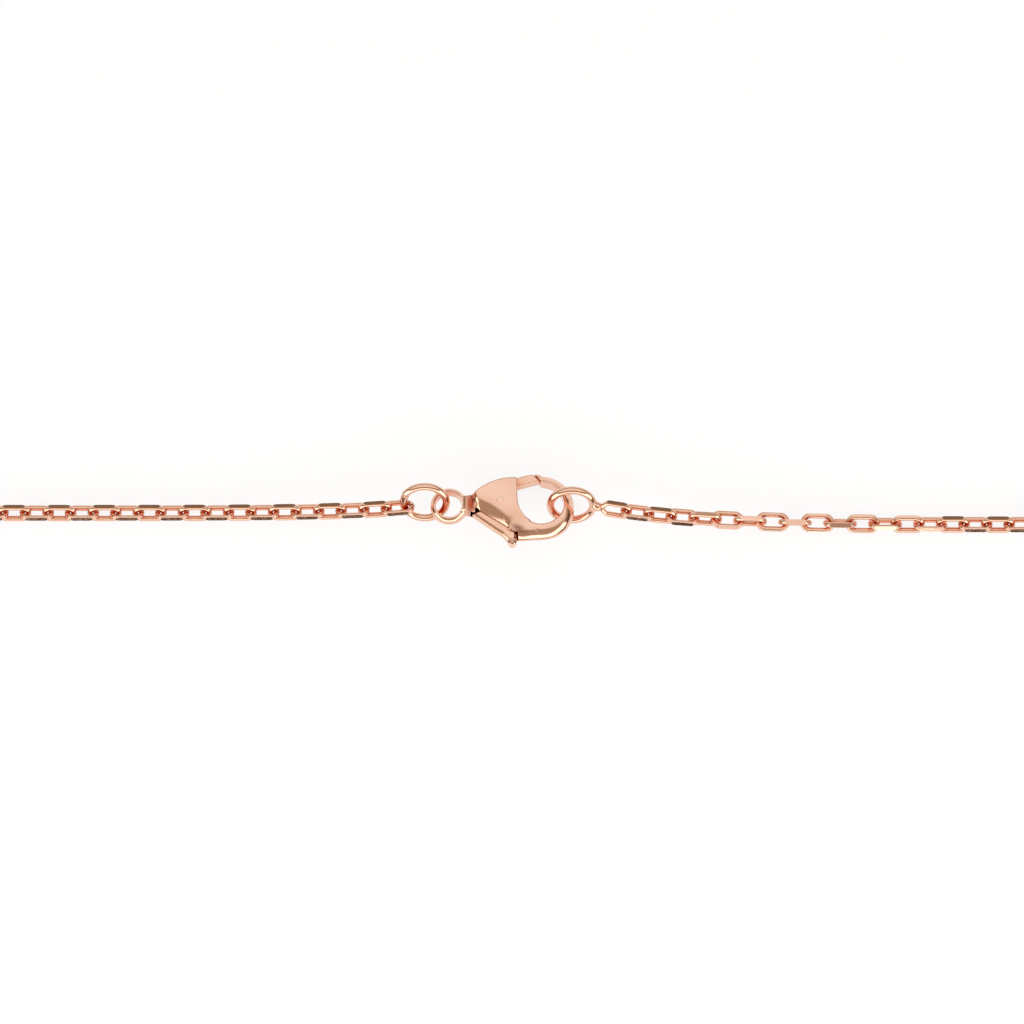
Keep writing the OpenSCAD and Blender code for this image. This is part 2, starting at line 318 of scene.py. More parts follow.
def put_on(piece, body, nodes):
    """The piece rides on its body and stands in for its nodes."""
    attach(piece, body)
    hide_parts(*nodes)


# Flat shapes and solids as distances, negative inside


def disc(x, y, middle, r):
    return np.hypot(x - middle[0], y - middle[1]) - r


def slab(v, half):
    return np.abs(v) - half


def panel(x, y, corners):
    """Distance to a polygon with those corners."""
    best = None
    inside = None
    count = len(corners)
    for i in range(count):
        (ax, ay), (bx, by) = corners[i], corners[(i + 1) % count]
        ex, ey = bx - ax, by - ay
        wx, wy = x - ax, y - ay
        t = np.clip((wx * ex + wy * ey) / (ex * ex + ey * ey), 0, 1)
        near = (wx - ex * t) ** 2 + (wy - ey * t) ** 2
        best = near if best is None else np.minimum(best, near)
        crosses = ((ay <= y) != (by <= y)) & ((bx - ax) * (y - ay) / (by - ay + 1e-12) + ax > x)
        inside = crosses if inside is None else inside ^ crosses
    return np.where(inside, -1.0, 1.0) * np.sqrt(best)


def meet(a, b, r):
    """Common part of two solids, its edge rounded by r."""
    a, b = a + r, b + r
    return np.minimum(np.maximum(a, b), 0) + np.hypot(np.maximum(a, 0), np.maximum(b, 0)) - r


def melt(a, b, k):
    """Two solids run together with a soft fillet of about k."""
    h = np.maximum(k - np.abs(a - b), 0) / k
    return np.minimum(a, b) - h * h * k / 4


def carve(a, b, r):
    """Solid a less solid b, with its edge rounded by r."""
    return meet(a, -b, r)


def skin(solid, low, high, step):
    """(points, quads, normals) of the closed surface of a solid given as a distance."""
    axes = [np.arange(lo, hi + step, step) for lo, hi in zip(low, high)]
    value = solid(axes[0][:, None, None], axes[1][None, :, None], axes[2][None, None, :])
    value = np.broadcast_to(value, tuple(len(a) for a in axes))
    inside = value < 0
    corners = [(i, j, k) for i in (0, 1) for j in (0, 1) for k in (0, 1)]
    cells = tuple(n - 1 for n in inside.shape)
    count = sum(
        inside[i : i + cells[0], j : j + cells[1], k : k + cells[2]].astype(np.int8) for i, j, k in corners
    )
    mixed = (count > 0) & (count < 8)
    index = np.full(cells, -1)
    where = np.argwhere(mixed)
    index[mixed] = np.arange(len(where))
    total, hits = np.zeros((len(where), 3)), np.zeros(len(where))
    for a in corners:
        for axis in range(3):
            if a[axis]:
                continue
            b = tuple(c + (n == axis) for n, c in enumerate(a))
            va, vb = value[tuple((where + a).T)], value[tuple((where + b).T)]
            cut = (va < 0) != (vb < 0)
            t = np.where(cut, va / np.where(cut, va - vb, 1), 0)
            point = where + np.array(a, float)
            point[:, axis] += t
            total += point * cut[:, None]
            hits += cut
    points = np.array([a[0] for a in axes]) + total / hits[:, None] * step
    quads = []
    for axis in range(3):
        u, v = [n for n in range(3) if n != axis]
        lower = [slice(1, -1)] * 3
        lower[axis] = slice(0, -1)
        upper = list(lower)
        upper[axis] = slice(1, None)
        a, b = inside[tuple(lower)], inside[tuple(upper)]
        at = np.argwhere(a != b)
        base = at.copy()
        base[:, u] += 1
        base[:, v] += 1
        ring = []
        for du, dv in ((0, 0), (-1, 0), (-1, -1), (0, -1)):
            cell = base.copy()
            cell[:, u] += du
            cell[:, v] += dv
            ring.append(index[tuple(cell.T)])
        ring = np.column_stack(ring)
        leaving = a[tuple(at.T)]
        flip = leaving if axis != 1 else ~leaving
        ring[~flip] = ring[~flip][:, ::-1]
        quads.append(ring)
    for _ in range(4):
        points -= np.clip(slope_step(solid, points), -step / 2, step / 2)
    normals = gradient(solid, points)
    return points, np.vstack(quads), normals / np.linalg.norm(normals, axis=1)[:, None]


def gradient(solid, points, near=2e-3):
    """Direction in which a solid's distance grows at each point."""
    out = np.empty_like(points)
    for axis in range(3):
        shift = np.zeros(3)
        shift[axis] = near
        ahead, behind = points + shift, points - shift
        out[:, axis] = (solid(*ahead.T) - solid(*behind.T)) / (2 * near)
    return out


def slope_step(solid, points):
    """The way from each point to the solid's surface."""
    g = gradient(solid, points)
    return g * (solid(*points.T) / np.maximum((g * g).sum(1), 0.05))[:, None]


# ---------------------------------------------------------------- metals


def node(tree, kind, **values):
    """A new node with those settings and sockets; a socket takes a value or another node's output."""
    made = tree.nodes.new(kind)
    for key, value in values.items():
        if key not in made.inputs:
            setattr(made, key, value)
        elif isinstance(value, bpy.types.NodeSocket):
            tree.links.new(value, made.inputs[key])
        else:
            made.inputs[key].default_value = value
    return made


def grain(tree, place, scale, detail=3.0, stretch=(1, 1, 1)):
    """Noise of that many features a metre."""
    spot = node(tree, "ShaderNodeMapping", Vector=place, Scale=stretch).outputs["Vector"]
    noise = node(tree, "ShaderNodeTexNoise", Vector=spot, Scale=scale, Detail=detail, Roughness=0.55)
    return noise.outputs["Fac"]


def spread(tree, fac, low, high, out_low, out_high):
    """The factor's range from low to high, drawn out over another range."""
    ends = {"From Min": low, "From Max": high, "To Min": out_low, "To Max": out_high}
    return node(tree, "ShaderNodeMapRange", Value=fac, **ends).outputs["Result"]


def blend_colours(tree, fac, first, second):
    blender = node(tree, "ShaderNodeMix", data_type="RGBA", Factor=fac)
    for socket, colour in (("A", first), ("B", second)):
        target = next(i for i in blender.inputs if i.name == socket and i.type == "RGBA")
        if isinstance(colour, bpy.types.NodeSocket):
            tree.links.new(colour, target)
        else:
            target.default_value = (*colour, 1.0)
    return next(o for o in blender.outputs if o.type == "RGBA")


# Grains a metre of the slow colour drift and of the uneven polish
DRIFT_GRAINS = 420.0
POLISH_GRAINS = 2600.0
MARK_DEPTH = 0.004 * MM
# Reach of the ambient occlusion that paints shade into recesses
RECESS_SHADE_REACH = 0.9 * MM
# Tones of a metal, as shares of its own colour
DEEPER, LIGHTER = (0.965, 0.93, 0.9), (1.02, 1.03, 1.05)
# Painted shade in recesses, and a paler tone on sharp edges that paints abrasion and sheen
RECESS_SHADE_TONE, EDGE_WEAR_AND_SHEEN = (0.84, 0.44, 0.3), (1.04, 1.07, 1.1)
# Painted shade: deep red at the clasp's waist and dark brown in the hook's crook, where shade and reddish
# reflections fall
PAINTED_SHADE_SPOTS = {"waist": (0.5, 0.17, 0.1), "crook": (0.3, 0.2, 0.16)}


def toned(colour, tone):
    return tuple(min(1.0, c * f) for c, f in zip(colour, tone))


def metal(name, colour, roughness, marks, mark_grains, stretch=(1, 1, 1), edge_wear_and_sheen_share=0.5):
    """Metal with slow colour drift, uneven polish, fine marks, a paler tone on sharp edges that paints
    abrasion and sheen, and painted shade in recesses and at the clasp's waist and the hook's crook.
    """
    found = bpy.data.materials.get(name)
    if found:
        return found
    made = bpy.data.materials.new(name)
    made.use_nodes = True
    tree = made.node_tree
    shader = tree.nodes["Principled BSDF"]
    shader.inputs["Metallic"].default_value = 1.0
    place = node(tree, "ShaderNodeTexCoord").outputs["Object"]
    drift = grain(tree, place, DRIFT_GRAINS, 2.0)
    shade = spread(tree, drift, 0.35, 0.65, 0, 1)
    tinted = blend_colours(tree, shade, toned(colour, DEEPER), toned(colour, LIGHTER))
    # Painted shade: recesses found by ambient occlusion turn deep copper-red
    recess_occlusion = node(tree, "ShaderNodeAmbientOcclusion", samples=8, Distance=RECESS_SHADE_REACH)
    recess_shade = spread(tree, recess_occlusion.outputs["AO"], 0.45, 0.92, 1, 0)
    tinted = blend_colours(tree, recess_shade, tinted, toned(colour, RECESS_SHADE_TONE))
    # Painted shade at the clasp's waist and in the hook's crook
    for layer_name, tone in PAINTED_SHADE_SPOTS.items():
        layer = node(tree, "ShaderNodeAttribute", attribute_name=layer_name)
        tinted = blend_colours(tree, layer.outputs["Fac"], tinted, toned(colour, tone))
    # Sharp edges turn paler: painted sheen together with abrasion
    edges = node(tree, "ShaderNodeNewGeometry").outputs["Pointiness"]
    edge_wear_and_sheen = spread(tree, edges, 0.54, 0.64, 0, edge_wear_and_sheen_share)
    base = blend_colours(tree, edge_wear_and_sheen, tinted, toned(colour, EDGE_WEAR_AND_SHEEN))
    tree.links.new(base, shader.inputs["Base Color"])
    uneven = grain(tree, place, POLISH_GRAINS, 4.0)
    polish = spread(tree, uneven, 0.3, 0.7, roughness * 0.75, roughness * 1.3)
    tree.links.new(polish, shader.inputs["Roughness"])
    fine = grain(tree, place, mark_grains, 2.0, stretch)
    bump = node(tree, "ShaderNodeBump", Height=fine, Strength=marks, Distance=MARK_DEPTH)
    tree.links.new(bump.outputs["Normal"], shader.inputs["Normal"])
    return made


def gold_polished(look):
    return metal("polished_rose_gold", tuple(look.gold), look.polish, 0.25, 9000.0, (1, 3, 1))


def gold_facet(look):
    roughness = look.facet_roughness
    return metal("cut_facet_rose_gold", tuple(look.gold), roughness, 1.0, 16000.0, (0.4, 1, 1), edge_wear_and_sheen_share=0.2)


def steel_wire(look):
    return metal("drawn_spring_steel", tuple(look.steel), 0.3, 0.6, 20000.0, (1, 1, 4))


# ---------------------------------------------------------------- links


TINY = 1e-6


def link_mesh(chain, lean=0.0, bend_steps=12, cut_steps=4, arc_points=16, pinched=False):
    """(points, faces, is facet) of one link in millimetres, flat on XY with its length along X.

    The cut facets lean by that angle towards the link's own +Z."""
    wire_r = chain.wire / 2 / MM
    side_r = chain.link_width / 2 / MM - wire_r
    bend_x = (chain.pitch + 2 * chain.wire + chain.play) / 2 / MM - wire_r - side_r
    cut_at = side_r * math.cos(lean) + wire_r - chain.facet_cut / MM
    cut_from = facet_start(side_r, wire_r, lean, cut_at)
    quarter = list(np.linspace(0, cut_from, bend_steps // 2 + 1)) + list(
        np.linspace(cut_from, math.pi / 2, cut_steps + 1)[1:]
    )
    half = [-a for a in reversed(quarter[1:])] + quarter
    sections = [(bend_x, a) for a in half] + [(-bend_x, math.pi + a) for a in half]
    points, cut = [], []
    for x, a in sections:
        out = np.array([math.cos(a), math.sin(a), 0.0])
        centre = np.array([x, 0.0, 0.0]) + side_r * out
        if pinched and x < 0:
            centre, out = pinched_end(a - math.pi, bend_x, side_r)
        flat, rise = abs(out[1]) * math.cos(lean), math.sin(lean)
        limit = (cut_at - abs(centre[1]) * math.cos(lean)) / (wire_r * max(math.hypot(flat, rise), TINY))
        phi = math.acos(limit) if limit < 1 else 0.0
        turn = math.atan2(rise, flat)
        cut.append(phi > 10 * TINY)
        for t in np.linspace(turn + phi, turn + 2 * math.pi - phi, arc_points + 1):
            points.append(centre + wire_r * (math.cos(t) * out + math.sin(t) * np.array([0, 0, 1.0])))
    ring, count = arc_points + 1, len(sections)
    faces, facet = [], []
    for i in range(count):
        j = (i + 1) % count
        for n in range(arc_points):
            faces.append((i * ring + n, j * ring + n, j * ring + n + 1, i * ring + n + 1))
            facet.append(False)
        if cut[i] or cut[j]:
            faces.append((i * ring + arc_points, j * ring + arc_points, j * ring, i * ring))
            facet.append(True)
    return weld(np.array(points), faces, facet)


def facet_start(side_r, wire_r, lean, cut_at):
    """Angle round the bend at which the cut first touches the wire."""
    low, high = 0.0, math.pi / 2
    for _ in range(40):
        a = (low + high) / 2
        flat = math.sin(a) * math.cos(lean)
        touches = side_r * flat + wire_r * math.hypot(flat, math.sin(lean)) > cut_at
        low, high = (low, a) if touches else (a, high)
    return (low + high) / 2


def pinched_end(a, bend_x, side_r):
    """Centre and outward direction on an end drawn out to a point, for a from -90 to 90 degrees."""
    share = abs(a) / (math.pi / 2)
    x = -bend_x - side_r * (1 - share) ** 1.25
    y = -math.copysign(side_r * math.sin(share * math.pi / 2) ** 1.1, a)
    tilt = math.copysign(1, a) * (0.95 + 0.62 * share) if a else 0.0
    return np.array([x, y, 0.0]), np.array([-math.cos(tilt), -math.sin(tilt), 0.0])


def weld(points, faces, facet):
    """Joins points that coincide and drops the faces that vanish."""
    bm = bmesh.new()
    verts = [bm.verts.new(p) for p in points]
    layer = bm.faces.layers.int.new("facet")
    for corners, is_facet in zip(faces, facet):
        bm.faces.new([verts[c] for c in corners])[layer] = int(is_facet)
    bmesh.ops.remove_doubles(bm, verts=bm.verts, dist=10 * TINY)
    bm.verts.index_update()
    out_points = np.array([v.co for v in bm.verts])
    out_faces = [[v.index for v in f.verts] for f in bm.faces]
    out_facet = [bool(f[layer]) for f in bm.faces]
    bm.free()
    return out_points, out_faces, out_facet


class NECKLACE_OT_links(bpy.types.Operator):
    """Lay the links of the whole loop"""

    bl_idname = "necklace.lay_links"
    bl_label = "Lay links"

    # Links that have a node of their own, counted from the clasp
    SINGLES = {LEFT: 18, RIGHT: 19}
    # How far the upper facet may face away from the zenith, and the leans it is cut at to get there
    STEEPEST = 41
    LEANS = range(0, 9)

    def execute(self, context):
        chain, look = context.scene.necklace_chain, context.scene.necklace_metal
        path = ChainPath(chain)
        plain = {lean: link_mesh(chain, math.radians(lean)) for lean in self.LEANS}
        far = {lean: link_mesh(chain, math.radians(lean), 8, 2, 10) for lean in self.LEANS}
        soldered = {lean: link_mesh(chain, math.radians(lean), pinched=True) for lean in self.LEANS}
        metals = [gold_polished(look), gold_facet(look)]
        first_arc = path.straight + 1
        back_first = path.straight + path.half_turn + 1
        for side in (LEFT, RIGHT):
            for k in range(1, self.SINGLES[side] + 1):
                name = f"link_{side}_{k:02d}"
                body = "end_ring" if (side, k) == (RIGHT, 1) else name
                form = soldered if (side, k) == (RIGHT, 1) else plain
                self.lay(path, side, [k], form, metals, f"{name}_wire", body, name)
            front = range(self.SINGLES[side] + 1, path.FRONT_LINKS + 1)
            name, cad_node = f"front_links_{side}", f"front_chain_{side}"
            self.lay(path, side, front, plain, metals, name, "front_chain", cad_node)
            for n in range(1, path.TURN_LINKS + 1):
                name = f"turn_link_{side}_{n}"
                self.lay(path, side, [path.FRONT_LINKS + n], far, metals, f"{name}_wire", name, name)
            for g in range(path.ARC_GROUPS):
                start = first_arc + g * path.ARC_LINKS
                group = range(start, start + path.ARC_LINKS)
                name = f"arc_{side}_{g + 1}"
                self.lay(path, side, group, far, metals, f"{name}_wire", name, name)
        back = range(back_first, back_first + path.back_links)
        self.lay(path, LEFT, back, far, metals, "back_links", "arc_left_5", "back_chain")
        return {"FINISHED"}

    def lay(self, path, side, numbers, forms, metals, name, body, cad_node):
        """Lays the links of those numbers as one piece."""
        points, faces, facets = [], [], []
        offset = 0
        for k in numbers:
            middle, turned = path.placing(side, k)
            if turned[2, 2] < 0:
                turned = turned * [1, -1, -1]
            slant = math.degrees(math.acos(abs(turned[2, 1])))
            lean = int(min(max(slant - self.STEEPEST, self.LEANS[0]), self.LEANS[-1]))
            shape, form_faces, form_facets = forms[lean]
            points.append(to_frame(shape @ turned.T + middle))
            faces += [[c + offset for c in f] for f in form_faces]
            facets += [int(f) for f in form_facets]
            offset += len(shape)
        piece = new_piece(name, np.vstack(points), faces, metals, facets, sharp_metal=1)
        put_on(piece, body, [cad_node])
        check_place(piece, cad_node)


def check_place(piece, cad_node, slack=0.06 * MM):
    """A piece has to lie where its CAD node lies."""
    low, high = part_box(cad_node)
    points = np.array([v.co for v in piece.data.vertices])
    off = max(np.abs(points.min(0) - np.array(low)).max(), np.abs(points.max(0) - np.array(high)).max())
    if off > slack:
        raise RuntimeError(f"{piece.name} is {off / MM:.3f} mm off {cad_node}")


# ---------------------------------------------------------------- rings


def tube_faces(rings, across):
    """Faces of a tube of that many rings of points, counted round its direction, with its two ends."""
    faces = []
    for here in range(0, (rings - 1) * across, across):
        there = here + across
        for n in range(across):
            m = (n + 1) % across
            faces.append((here + n, there + n, there + m, here + m))
    near_end, far_end = range(across), range((rings - 1) * across, rings * across)
    return faces + [tuple(near_end), tuple(reversed(far_end))]


def cut_ring_mesh(r, wire_r, start, sweep, around, across):
    """(points, faces) of round wire bent about Z, from start through sweep, with two flat ends."""
    turns = np.linspace(start, start + sweep, around)
    phis = np.linspace(0, 2 * math.pi, across, endpoint=False)
    points = []
    for t in turns:
        for p in phis:
            out = r + wire_r * math.cos(p)
            points.append((out * math.cos(t), out * math.sin(t), wire_r * math.sin(p)))
    return np.array(points), tube_faces(around, across)


class NECKLACE_OT_rings(bpy.types.Operator):
    """Form the jump ring and the end ring with its solder bead"""

    bl_idname = "necklace.form_rings"
    bl_label = "Form rings"

    # The turn of each ring about the chain, and its middle from the edge of the hole it hangs in
    JUMP_TURN = math.radians(44)
    JUMP_OFFSET = np.array([-0.7, 0.28, 0.1])
    END_TURN = math.radians(47)
    END_OFFSET = np.array([0.49, 0.1, 0.0])
    # The jump ring's cut: where it is, how wide, and how far its end springs out, in millimetres
    CUT_AT = math.radians(150)
    CUT = 0.03
    SPRUNG = 0.045
    AROUND, ACROSS = 160, 32
    # The bead's middle from the end ring's outer edge, in millimetres
    BEAD_OUT = 0.03
    BEAD_DOWN = -0.108
    SOLDER_FILLET = 0.16
    RING_STEP = 0.035

    def execute(self, context):
        rings, look = context.scene.necklace_rings, context.scene.necklace_metal
        clasp = context.scene.necklace_clasp
        gold = gold_polished(look)
        tail_edge = clasp.tail_reach / MM + ClaspForm.TAIL_HOLE / 2
        self.jump_ring(rings, gold, self.JUMP_OFFSET - [tail_edge, 0, 0])
        hook_edge = (clasp.hook_reach + clasp.hook_radius) / MM
        self.end_ring(rings, gold, self.END_OFFSET + [hook_edge, 0, 0])
        return {"FINISHED"}

    def jump_ring(self, rings, gold, middle):
        wire_r = rings.jump_wire / 2 / MM
        r = rings.outer / 2 / MM - wire_r
        sweep = 2 * math.pi - self.CUT / r
        points, faces = cut_ring_mesh(r, wire_r, self.CUT_AT, sweep, self.AROUND, self.ACROSS)
        near_end = np.repeat(np.linspace(0, 1, self.AROUND) ** 24, self.ACROSS)
        points[:, :2] *= (1 + self.SPRUNG / r * near_end)[:, None]
        points = to_frame(points @ x_turn(self.JUMP_TURN) + middle)
        piece = new_piece("jump_ring_wire", points, faces, [gold])
        put_on(piece, "jump_ring", ["jump_ring"])

    def end_ring(self, rings, gold, middle):
        wire_r = rings.end_wire / 2 / MM
        r = rings.outer / 2 / MM - wire_r
        bead_r = rings.bead / 2 / MM
        bead = np.array([r + wire_r + self.BEAD_OUT, self.BEAD_DOWN, 0.0]) @ x_turn(-self.END_TURN)

        def solid(x, y, z):
            wire = np.hypot(np.hypot(x, y) - r, z) - wire_r
            drop = np.sqrt((x - bead[0]) ** 2 + (y - bead[1]) ** 2 + (z - bead[2]) ** 2) - bead_r
            return melt(wire, drop, self.SOLDER_FILLET)

        reach, rise = r + wire_r + 0.1, 0.5
        low, high = (-reach, -reach, -rise), (reach + 0.4, reach, rise)
        points, faces, normals = skin(solid, low, high, self.RING_STEP)
        turn = x_turn(self.END_TURN)
        points, normals = to_frame(points @ turn + middle), normals @ turn
        piece = new_piece("end_ring_wire", points, faces, [gold], normals=normals)
        put_on(piece, "end_ring", ["end_ring"])


# ---------------------------------------------------------------- clasp


class ClaspForm:
    """Shapes of the clasp in millimetres about its pivot, before it is tilted."""

    # Outline of the body
    CROWN = (1.0, -2.36)
    CROWN_R = 4.04
    NECK_X = -1.75
    NECK_HALF = 0.6
    ROOT_X = 1.15
    ROOT_DROP = 2.22
    LEFT_END = [(-1.78, 5), (-1.72, 0.6), (-1.5, -0.62), (4, -5), (4, 5)]
    RIGHT_END = [(-5, -5), (1.1, -5), (1.15, -2.34), (1.9, -2.28), (1.8, -1.0), (1.3, -0.3), (1.12, 0.1),
                 (1.08, 0.3), (1.08, 5), (-5, 5)]
    # Faces of the body: domes, the fall towards the hook's root, and the bevels along the lower side.
    # A bevel has its distance in from the edge, its height there, its slope in degrees and its rounding.
    DOME_R = 6.0
    FLATTER_LEFT, FLATTER_UP = 0.75, 0.55
    FALL_FROM = (1.3, -1.1, 0.8)
    FALL = (0.35, -0.7)
    FALL_LENGTH = 1.27
    UPPER_BEVEL = (0.82, 0.98, 36, 0.22)
    LOWER_BEVEL = (0.44, 0.74, 50, 0.1)
    # Hook, swelling towards its lower side, and the plate that it grows from
    HOOK_WALL = 0.64
    HOOK_DEPTH = 1.14
    HOOK_SWELL = 0.14
    HOOK_BEVELS = [(0.6, 0.57, 35, 0.12), (0.2, 0.29, 58, 0.07)]
    UNDERSIDE_KEPT = 0.25
    ROOT_SLOPE = 0.069
    ROOT_END = 2.7
    # Tail ring and neck
    TAIL_HOLE = 1.72
    TAIL_WALL = 0.34
    TAIL_DEPTH = 0.92
    TAIL_BEVELS = [(0.26, 0.46, 35, 0.06), (0.1, 0.348, 58, 0.04)]
    NECK = [(-2.6, -0.42), (-1.62, -0.6), (-1.62, 0.7), (-2.6, 0.5)]
    NECK_DIP = (-1.98, 0.5, 0.9)
    # Slot for the trigger
    SLOT_HALF = 0.43
    LEVER_R = 1.98
    WEB = 0.3
    SLOT_FLOOR = [(0, -5), (1.15, -5), (1.15, 5), (0, 5)]
    SLOT_ROOF = [(0.6, 0), (1.75, 0), (1.75, 4), (0.6, 4)]
    SLOT_SIDES = [(-0.6, 4), (-1.5, 0.45), (-2.2, 0.12), (-4, -0.1), (-4, -2.22), (-0.4, -4.4), (1.13, -4.4),
                  (1.13, -1.2), (1.18, 0), (1.18, 4)]
    # Trigger
    TRIGGER_HALF = 0.38
    GATE_REACH = 2.98
    GATE_GAP = 0.04
    GATE_BOW = (2.3, -1)
    GATE_BOW_OUT = 0.98
    GATE = [(-0.3, 0.4), (0.66, 1.32), (0.66, 2), (3, 2.4), (3, 1.76), (2.4, 1.62), (1.1, 1.26), (0.9, 0.5),
            (0.3, -0.4)]
    HUB_R = 0.62
    TAB = (0.76, -2.54)
    TAB_R = 0.27
    LEVER = [(0, 0.1), (-0.5, 0.14), (-1.62, -0.4), (-1.8, -0.68), (-0.28, -1.8), (0.12, -2.06),
             (TAB[0] - TAB_R, TAB[1]), (TAB[0] + TAB_R, TAB[1]), (1.08, -1.8), (0.6, -0.2)]
    LEVER_BEVEL = (0.22, 0.38, 37, 0.04)
    LEVER_BEVEL_END = -0.3
    # Places painted with shade: middle and reach of each
    WAIST, WAIST_REACH = (-1.9, 0.02), (0.26, 0.62)
    CROOK, CROOK_REACH, CROOK_SLOPE, CROOK_SHARE = (1.15, -1.72), (0.46, 0.22), 0.3, 0.9

    def __init__(self, clasp):
        self.tail = (-clasp.tail_reach / MM, 0.0)
        self.hook = (clasp.hook_reach / MM, 0.0)
        self.hook_r = clasp.hook_radius / MM
        self.half = clasp.body_height / 2 / MM
        self.hook_out = self.hook_r + self.HOOK_WALL

    def domes(self, x, y, z):
        """Both faces, flatter towards the crown and the tail than the open side."""
        rise = self.half - self.DOME_R
        x = np.where(x < 0, self.FLATTER_LEFT, 1.0) * x
        y = np.where(y > 0, self.FLATTER_UP, 1.0) * y
        upper = np.sqrt(x * x + y * y + (z - rise) ** 2) - self.DOME_R
        lower = np.sqrt(x * x + y * y + (z + rise) ** 2) - self.DOME_R
        return np.maximum(upper, lower)

    def slope(self, inward, height, bevel):
        """Sloping plane of a bevel, for points that far in from the edge and that high."""
        from_edge, at_height, degrees, _ = bevel
        a = math.radians(degrees)
        return (from_edge - inward) * math.sin(a) + (height - at_height) * math.cos(a)

    def bevelled(self, solid, inward, height, bevels):
        for bevel in bevels:
            solid = meet(solid, self.slope(inward, height, bevel), bevel[-1])
        return solid

    def swell(self, y):
        """How much stronger the hook is on each side of its wire, growing towards its lower side."""
        return self.HOOK_SWELL * np.clip(-y / 1.6, 0, 1)

    def shell(self, x, y, z):
        """The domed body, rolled along its lower side and crisp towards the hook."""
        run = np.array([self.ROOT_X - self.NECK_X, self.NECK_HALF - self.ROOT_DROP])
        run /= np.hypot(*run)
        inward = (y + self.NECK_HALF) * run[0] - (x - self.NECK_X) * run[1]
        fall = np.abs(z) - self.FALL_FROM[2]
        fall = fall + self.FALL[0] * (x - self.FALL_FROM[0]) + self.FALL[1] * (y - self.FALL_FROM[1])
        # The bevel starts lower towards the tail, where the dome is lower too
        height = np.abs(z) + 0.09 * np.maximum(0, 0.4 - x)
        rolled = self.bevelled(self.domes(x, y, z), inward, height, [self.UPPER_BEVEL])
        rolled = self.bevelled(rolled, inward, np.abs(z), [self.LOWER_BEVEL])
        rolled = meet(rolled, 0.02 - inward, 0.08)
        rolled = meet(rolled, fall / self.FALL_LENGTH, 0.3)
        rolled = meet(rolled, panel(x, y, self.LEFT_END), 0.24)
        crowned = meet(rolled, disc(x, y, self.CROWN, self.CROWN_R), 0.1)
        opening = disc(x, y, self.hook, self.hook_r - self.swell(y))
        return meet(crowned, np.maximum(panel(x, y, self.RIGHT_END), -opening), 0.06)

    def hook_arm(self, x, y, z):
        """The curved arm with its root and its beak, bevelled along the outer edge."""
        from_middle = disc(x, y, self.hook, 0)
        inner, outer = self.hook_r - self.swell(y), self.hook_out + self.swell(y)
        drop = self.ROOT_DROP + self.HOOK_SWELL
        root = panel(x, y, [(0.5, -1.75), (self.ROOT_X, -drop), (2.6, 0.1 - drop), (2.9, -1.7), (0.9, -0.2)])
        arm = slab(from_middle - (inner + outer) / 2, (outer - inner) / 2)
        flat = np.maximum(melt(arm, root, 0.1), inner - from_middle)
        under = y + drop - self.ROOT_SLOPE * (x - self.ROOT_X)
        inward = np.maximum(outer - from_middle, np.minimum(under, self.ROOT_END - x))
        bar = meet(flat, slab(z, self.HOOK_DEPTH / 2), 0.16)
        bar = self.bevelled(bar, inward, np.maximum(z, -z - self.UNDERSIDE_KEPT), self.HOOK_BEVELS)
        gate_side = np.maximum(disc(x, y, (0, 0), self.GATE_REACH + self.GATE_GAP), -0.1 - y)
        return carve(bar, gate_side, 0.05)

    def tail_ring(self, x, y, z):
        from_middle = disc(x, y, self.tail, 0)
        rho = from_middle - (self.TAIL_HOLE + self.TAIL_WALL) / 2
        ring = meet(slab(rho, self.TAIL_WALL / 2), slab(z, self.TAIL_DEPTH / 2), 0.12)
        inward = self.TAIL_HOLE / 2 + self.TAIL_WALL - from_middle
        return self.bevelled(ring, inward, np.abs(z), self.TAIL_BEVELS)

    def neck(self, x, y, z):
        at, half, curve = self.NECK_DIP
        dip = half + curve * np.minimum((x - at) ** 2, 0.16)
        return meet(panel(x, y, self.NECK), slab(z, dip), 0.12)

    def slot(self, x, y, z):
        floor = np.minimum(disc(x, y, (0, 0), self.LEVER_R), panel(x, y, self.SLOT_FLOOR))
        roof = np.minimum(disc(x, y, self.CROWN, self.CROWN_R - self.WEB), panel(x, y, self.SLOT_ROOF))
        plan = np.maximum(np.maximum(floor, roof), panel(x, y, self.SLOT_SIDES))
        return np.maximum(plan, slab(z, self.SLOT_HALF))

    def body(self, x, y, z):
        whole = melt(self.shell(x, y, z), self.hook_arm(x, y, z), 0.3)
        whole = melt(whole, self.neck(x, y, z), 0.3)
        whole = melt(whole, self.tail_ring(x, y, z), 0.3)
        whole = carve(whole, disc(x, y, self.tail, self.TAIL_HOLE / 2) + 0 * z, 0.06)
        return carve(whole, self.slot(x, y, z), 0.03)

    def painted_shade_layers(self, points):
        """How much painted shade each point gets, from 0 to 1, at the waist and in the crook of the hook."""
        x, y = points[:, 0] - self.WAIST[0], points[:, 1] - self.WAIST[1]
        waist = np.exp(-((x / self.WAIST_REACH[0]) ** 4)) * np.exp(-((y / self.WAIST_REACH[1]) ** 4))
        x, y = points[:, 0] - self.CROOK[0], points[:, 1] - self.CROOK[1]
        along, over = x / self.CROOK_REACH[0], (y + self.CROOK_SLOPE * x) / self.CROOK_REACH[1]
        return {"waist": waist, "crook": self.CROOK_SHARE * np.exp(-(along**2) - over**2)}

    def trigger(self, x, y, z):
        bow = disc(x, y, self.GATE_BOW, self.hook_out + self.GATE_BOW_OUT)
        gate = np.maximum(np.maximum(disc(x, y, (0, 0), self.GATE_REACH), bow), panel(x, y, self.GATE))
        plan = np.minimum(np.minimum(gate, disc(x, y, (0, 0), self.HUB_R)), panel(x, y, self.LEVER))
        plan = melt(plan, disc(x, y, self.TAB, self.TAB_R), 0.1)
